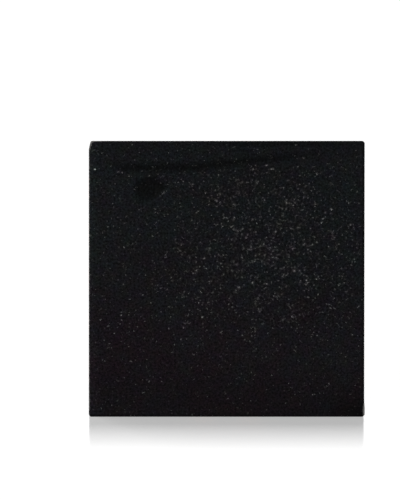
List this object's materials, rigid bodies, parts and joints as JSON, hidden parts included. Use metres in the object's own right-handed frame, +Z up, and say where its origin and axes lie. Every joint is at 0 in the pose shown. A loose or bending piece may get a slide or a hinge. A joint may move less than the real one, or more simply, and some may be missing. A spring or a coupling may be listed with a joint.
{
  "type": "flat no-lead chip",
  "caption": "Square black moulded chip with flush terminals along opposite sides, an exposed thermal pad with tie bars below, and a die with bond wires inside; it is soldered flat to a board.",
  "frame": {"origin": "centre of the underside, on the seating plane that the terminals and the thermal pad share", "axes": "+Z up through the marked face, +X across the rows of terminals, +Y along the rows towards the end that holds terminal 1"},
  "size_m": [0.003, 0.003, 0.0009],
  "materials": {
    "mould_compound": "black filled epoxy, matt from the mould, sawn sides",
    "tinned_copper": "matt tin plate on etched copper",
    "silicon": "sawn and polished silicon",
    "silver_epoxy": "cured silver-filled epoxy",
    "gold_wire": "bright drawn gold wire"
  },
  "bodies": {
    "root": {"mould_body": "mould_compound", "thermal_pad": "tinned_copper", "die_adhesive": "silver_epoxy", "die": "silicon", "terminal_1": "tinned_copper", "terminal_2": "tinned_copper", "terminal_3": "tinned_copper", "terminal_4": "tinned_copper", "terminal_5": "tinned_copper", "terminal_6": "tinned_copper", "terminal_7": "tinned_copper", "terminal_8": "tinned_copper", "terminal_9": "tinned_copper", "terminal_10": "tinned_copper", "bond_wire_1": "gold_wire", "bond_wire_2": "gold_wire", "bond_wire_3": "gold_wire", "bond_wire_4": "gold_wire", "bond_wire_5": "gold_wire", "bond_wire_6": "gold_wire", "bond_wire_7": "gold_wire", "bond_wire_8": "gold_wire", "bond_wire_9": "gold_wire", "bond_wire_10": "gold_wire"}
  },
  "joints": []
}
